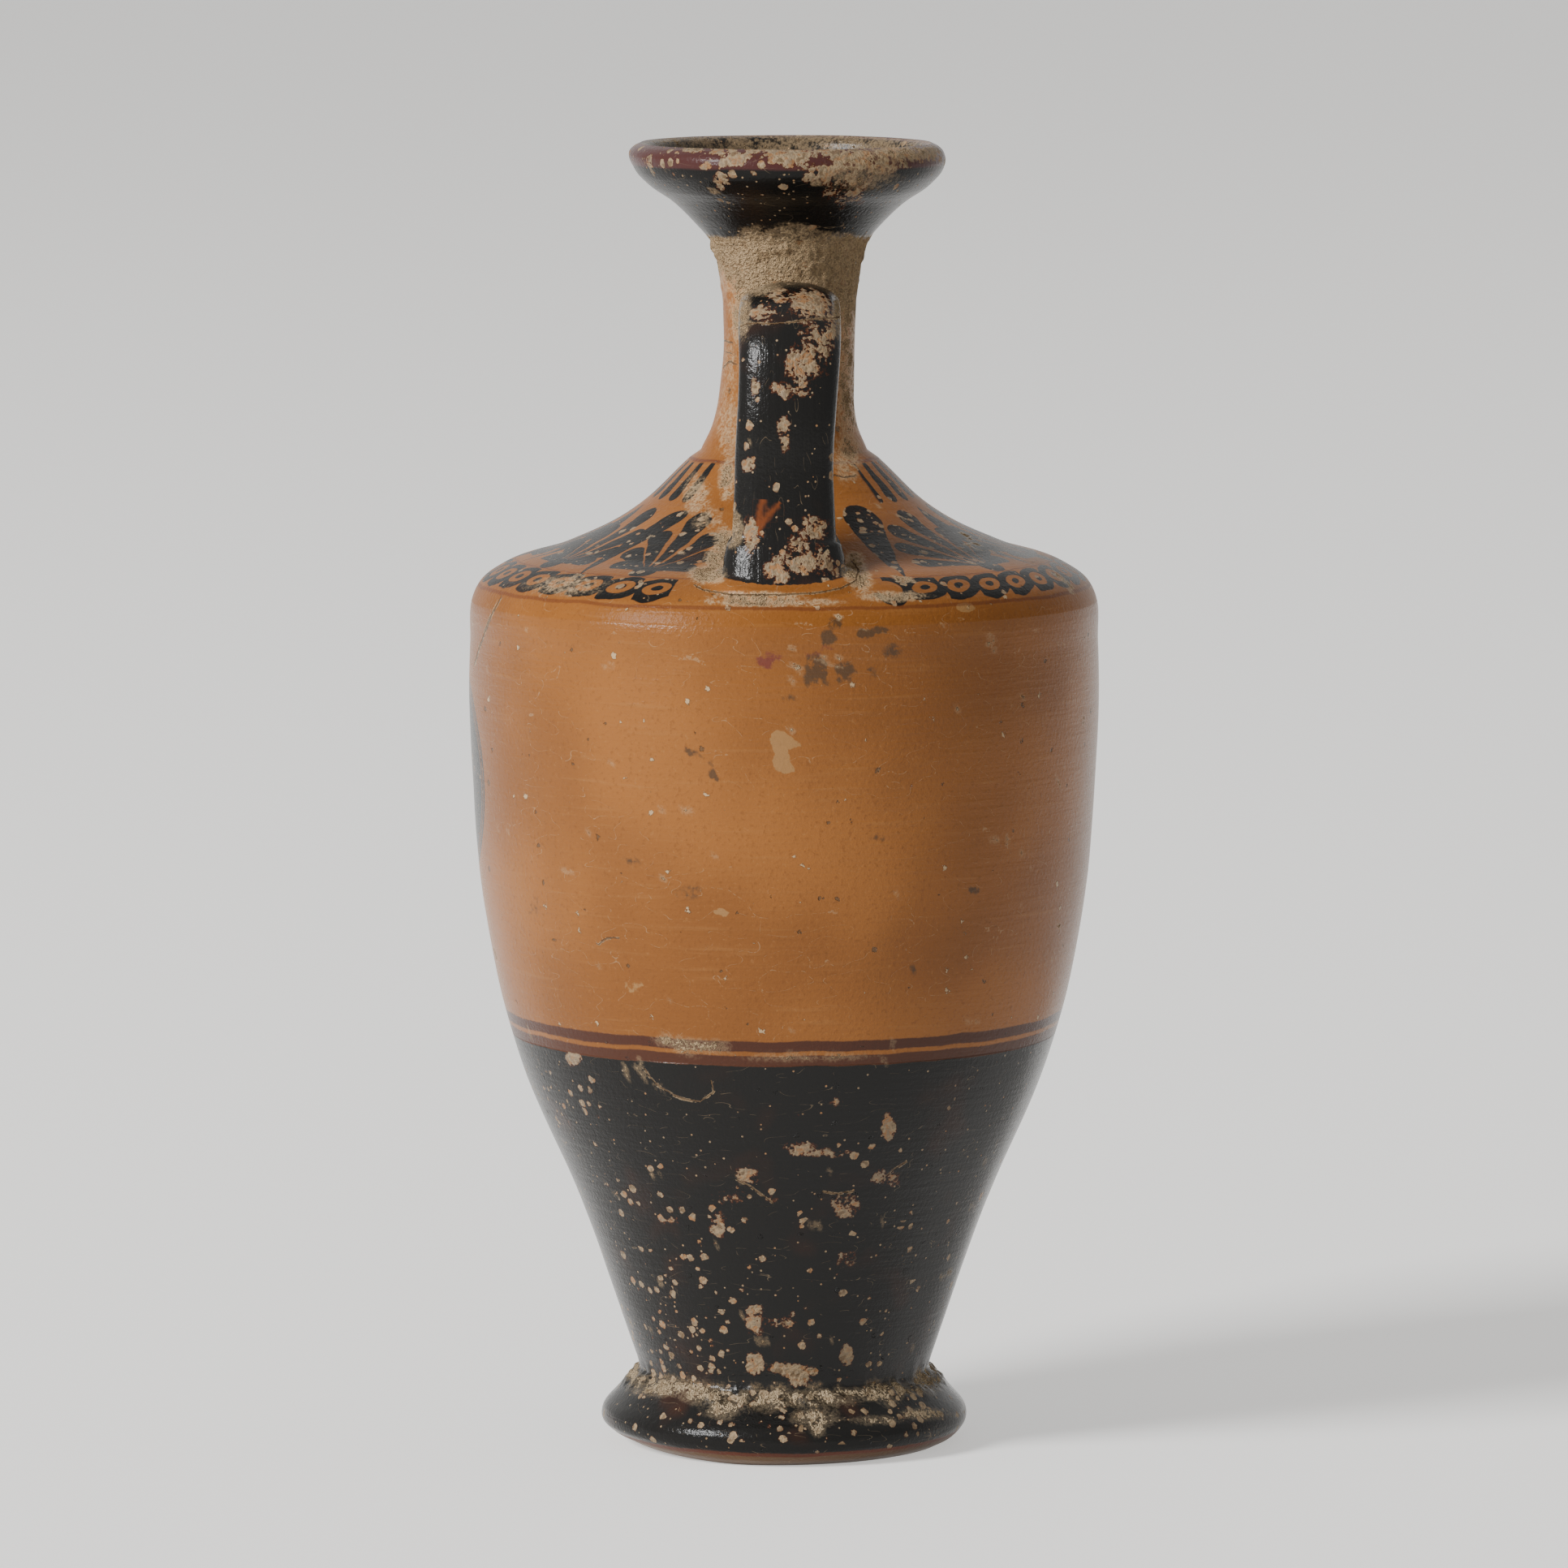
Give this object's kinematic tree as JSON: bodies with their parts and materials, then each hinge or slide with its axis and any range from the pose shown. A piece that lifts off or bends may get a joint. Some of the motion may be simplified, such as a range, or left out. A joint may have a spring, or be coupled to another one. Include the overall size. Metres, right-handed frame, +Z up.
{
  "type": "lekythos",
  "caption": "Slender clay oil flask with a cup mouth, narrow neck, sloping shoulder, tapering body, disc foot and one strap handle.",
  "frame": {"origin": "centre of the resting ring under the foot, on the plane it stands on", "axes": "+Z up along the turning axis; the handle stands on the -Y side; X runs across the handle"},
  "size_m": [0.1159, 0.1159, 0.24],
  "materials": {
    "fired_clay": "fired orange clay with glossy black slip, worn and crusted"
  },
  "bodies": {
    "root": {"lekythos": "fired_clay"}
  },
  "joints": []
}
